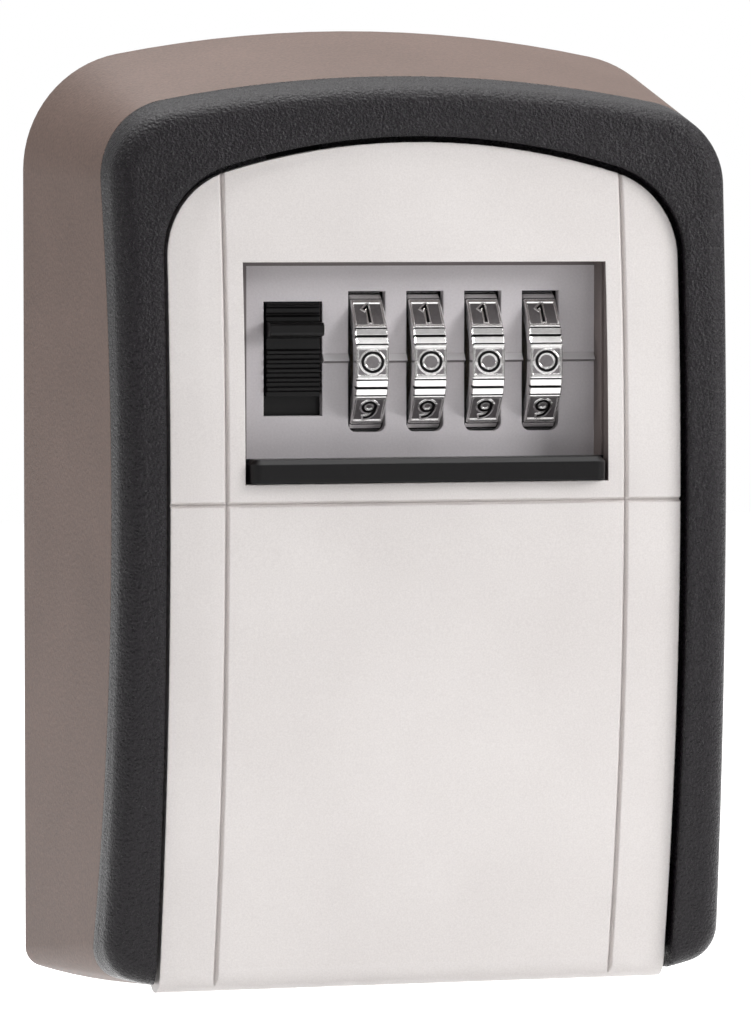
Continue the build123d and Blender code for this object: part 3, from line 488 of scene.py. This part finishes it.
# One raised stroke of a figure on its field, closed all round and rooted in the wheel.
def addStroke(bm, w, centreX, digit, line, width, proud, finish):
    closed = (Vector(line[0]) - Vector(line[-1])).length < tiny
    turn = math.radians(digit * w["digitTurn"])
    along = Vector((0, math.sin(turn), math.cos(turn)))
    outward = Vector((0, -math.cos(turn), math.sin(turn)))
    axis = Vector((centreX, -w["axisDepth"], w["axisHeight"]))
    inward, down = w["strokeBevel"]
    root = w["flat"] - w["fieldSunk"] - w["strokeRoot"]
    top = w["flat"] - w["fieldSunk"] + proud

    def at(point, height):
        return bm.verts.new((axis + Vector((point.x, 0, 0)) + along * point.y + outward * height) * mm)

    if not closed:
        line = [drawnOut(line[0], line[1], width)] + line[1:-1] + [drawnOut(line[-1], line[-2], width)]
    rows = []
    for left, right in besideLine(line, closed, width / 2):
        inset = (left - right).normalized() * inward
        rows.append((at(left, root), at(left, top - down), at(left - inset, top),
                     at(right + inset, top), at(right, top - down), at(right, root)))
    if closed:
        for vert in rows.pop():
            bm.verts.remove(vert)
    count = len(rows)
    for i in range(count if closed else count - 1):
        near, far = rows[i], rows[(i + 1) % count]
        for k in range(len(near)):
            following = (k + 1) % len(near)
            face = bm.faces.new((near[k], near[following], far[following], far[k]))
            face.material_index = wheelFinishes.index(finish)
    if not closed:
        for row in (rows[0], rows[-1]):
            bm.faces.new(row).material_index = wheelFinishes.index(finish)


def makeWheel(w, number):
    centreX = w["firstX"] + (number - 1) * w["pitch"]
    bm = bmesh.new()
    addWheelRing(bm, w, centreX)
    for figure, lines in figureLines.items():
        for line in lines:
            addStroke(bm, w, centreX, int(figure), line, w["rimWidth"], w["rimProud"], "wheelChrome")
            addStroke(bm, w, centreX, int(figure), line, w["inkWidth"], w["inkProud"], "figureInk")
    bmesh.ops.recalc_face_normals(bm, faces=bm.faces)
    for face in bm.faces:
        face.smooth = True
    for edge in bm.edges:
        edge.smooth = len(edge.link_faces) == 2 and edge.calc_face_angle() < math.radians(w["smoothAngle"])
    wheel = finishMesh(bm, f"figureWheel{number}", wheelFinishes)
    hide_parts(f"number_wheel_{number}")
    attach(wheel, f"wheel_{number}")


for number in range(1, 5):
    makeWheel(wheelLook, number)
print("wheels ready")


# Slider spring: a coil on the housing's floor that rides with the slider.
springLook = {
    "turns": 5.0, "coilRadius": 1.25, "wireRadius": 0.24,
    "endShare": 0.12,             # how much of the wire lies flat at either end
    "endGap": 0.01, "stepsPerTurn": 28, "sides": 10, "slopeStep": 0.001,
    "keep": 0.69,                 # how much of the length is left when the slider is down
}


# A point on the wire's middle line in millimetres, for a share of its way up.
def coilPoint(look, share, low, high):
    turn = 2 * math.pi * look["turns"] * share
    rise = min(1.0, max(0.0, (share - look["endShare"]) / (1 - 2 * look["endShare"])))
    foot = low.z / mm + look["wireRadius"] + look["endGap"]
    head = high.z / mm - look["wireRadius"] - look["endGap"]
    middle = (low + high) / 2 / mm
    return Vector((middle.x + look["coilRadius"] * math.cos(turn),
                   middle.y + look["coilRadius"] * math.sin(turn), foot + (head - foot) * rise))


def makeSpring(look):
    low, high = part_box("slider_spring")
    steps = int(look["turns"] * look["stepsPerTurn"])
    bm = bmesh.new()
    rings = []
    for i in range(steps + 1):
        share = i / steps
        centre = coilPoint(look, share, low, high)
        ahead = (coilPoint(look, share + look["slopeStep"], low, high)
                 - coilPoint(look, share - look["slopeStep"], low, high))
        side = ahead.cross(Vector((0, 0, 1))).normalized()
        up = side.cross(ahead).normalized()
        ring = []
        for j in range(look["sides"]):
            turn = 2 * math.pi * j / look["sides"]
            out = (side * math.cos(turn) + up * math.sin(turn)) * look["wireRadius"]
            ring.append(bm.verts.new((centre + out) * mm))
        rings.append(ring)
    for near, far in zip(rings, rings[1:]):
        for j in range(look["sides"]):
            k = (j + 1) % look["sides"]
            bm.faces.new((near[j], near[k], far[k], far[j])).smooth = True
    bm.faces.new(rings[0])
    bm.faces.new(rings[-1])
    bmesh.ops.recalc_face_normals(bm, faces=bm.faces)
    spring = finishMesh(bm, "liftSpring", ("springSteel",))
    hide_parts("slider_spring")
    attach(spring, "slider")
    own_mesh(spring)


makeSpring(springLook)
print("spring ready")


# Studio: a pale floor, a white surround and soft lamps.
studio = {
    "floorDrop": 26,              # millimetres below the object, so that the open door clears it
    "floorSize": 3.0, "floorColour": (222, 222, 222), "floorRoughness": 0.9, "floorLift": 0.82,
    "fibrePerMm": 0.4, "fibreShare": 1.02,
    "worldLight": 0.16,
    "roomGlow": 0.06, "backGlow": 0.5, "glowFrom": -0.1, "glowTo": 0.5,       # what gloss sees of the room
    "lamps": {
        "keyLamp": {"watts": 1.25, "place": (0.36, -0.26, 0.18), "size": (0.16, 0.16)},
        "frontLamp": {"watts": 0.7, "place": (0.1, -1.0, 0.3), "size": (0.5, 0.5)},
        "topLamp": {"watts": 13.0, "place": (0.1, 0.15, 0.9), "size": (1.2, 0.8)},
        "edgeLamp": {"watts": 0.6, "place": (-0.5, -0.14, 0.2), "size": (0.01, 0.05)},
    },
}


def makeFloor(s):
    mesh = bpy.data.meshes.new("floor")
    half = s["floorSize"] / 2
    z = cadLow.z - s["floorDrop"] * mm
    corners = [(-half, -half, z), (half, -half, z), (half, half, z), (-half, half, z)]
    mesh.from_pydata(corners, [], [(0, 1, 2, 3)])
    floor = bpy.data.objects.new("floor", mesh)
    bpy.context.scene.collection.objects.link(floor)
    mat, nodes, links, shader, where = startMaterial("floorPaper")
    fibre = addNoise(nodes, links, where, s["fibrePerMm"], 3.0)
    tone = colourOf(*s["floorColour"])
    paler = tuple(min(1, v * s["fibreShare"]) for v in tone)
    links.new(addRamp(nodes, links, fibre, [(rampFrom, tone), (rampTo, paler)]), shader.inputs["Base Color"])
    shader.inputs["Roughness"].default_value = s["floorRoughness"]
    # The floor looks white to the camera and in gloss, and still takes the shadow.
    path = nodes.new("ShaderNodeLightPath")
    seen = addMath(nodes, links, "MAXIMUM", path.outputs["Is Camera Ray"], path.outputs["Is Glossy Ray"])
    glow = nodes.new("ShaderNodeEmission")
    links.new(addMath(nodes, links, "MULTIPLY", seen, s["floorLift"]), glow.inputs["Strength"])
    both = nodes.new("ShaderNodeAddShader")
    links.new(shader.outputs["BSDF"], both.inputs[0])
    links.new(glow.outputs["Emission"], both.inputs[1])
    out = next(node for node in nodes if node.type == "OUTPUT_MATERIAL")
    links.new(both.outputs["Shader"], out.inputs["Surface"])
    mesh.materials.append(mat)


def makeWorld(s):
    world = bpy.data.worlds.new("studio")
    world.use_nodes = True
    nodes, links = world.node_tree.nodes, world.node_tree.links
    nodes.clear()
    out = nodes.new("ShaderNodeOutputWorld")
    path = nodes.new("ShaderNodeLightPath")
    light = nodes.new("ShaderNodeBackground")
    light.inputs["Color"].default_value = (1, 1, 1, 1)
    light.inputs["Strength"].default_value = s["worldLight"]
    white = nodes.new("ShaderNodeBackground")
    white.inputs["Color"].default_value = (1, 1, 1, 1)
    seen = addMath(nodes, links, "MAXIMUM", path.outputs["Is Camera Ray"],
                   addMath(nodes, links, "MAXIMUM", path.outputs["Is Glossy Ray"],
                           path.outputs["Is Transmission Ray"]))
    # Gloss shows the pale backdrop behind and above, and the dimmer room in front.
    where = nodes.new("ShaderNodeTexCoord")
    parts = nodes.new("ShaderNodeSeparateXYZ")
    links.new(where.outputs["Generated"], parts.inputs["Vector"])
    side = addMath(nodes, links, "MAXIMUM", parts.outputs["Y"], parts.outputs["Z"])
    room = addRange(nodes, links, side, s["roomGlow"], s["backGlow"], s["glowFrom"], s["glowTo"])
    links.new(addMath(nodes, links, "MAXIMUM", room, path.outputs["Is Camera Ray"]),
              white.inputs["Strength"])
    mix = nodes.new("ShaderNodeMixShader")
    links.new(seen, mix.inputs["Fac"])
    links.new(light.outputs["Background"], mix.inputs[1])
    links.new(white.outputs["Background"], mix.inputs[2])
    links.new(mix.outputs["Shader"], out.inputs["Surface"])
    bpy.context.scene.world = world


def makeLamp(name, watts, place, size):
    data = bpy.data.lights.new(name, "AREA")
    data.energy = watts
    data.shape = "RECTANGLE"
    data.size, data.size_y = size
    lamp = bpy.data.objects.new(name, data)
    bpy.context.scene.collection.objects.link(lamp)
    lamp.location = place
    lamp.rotation_mode = "QUATERNION"
    lamp.rotation_quaternion = (-Vector(place)).to_track_quat("-Z", "Y")


makeFloor(studio)
makeWorld(studio)
for lampName, lamp in studio["lamps"].items():
    makeLamp(lampName, lamp["watts"], lamp["place"], lamp["size"])
bpy.context.scene.view_settings.view_transform = "Standard"
print("studio ready")
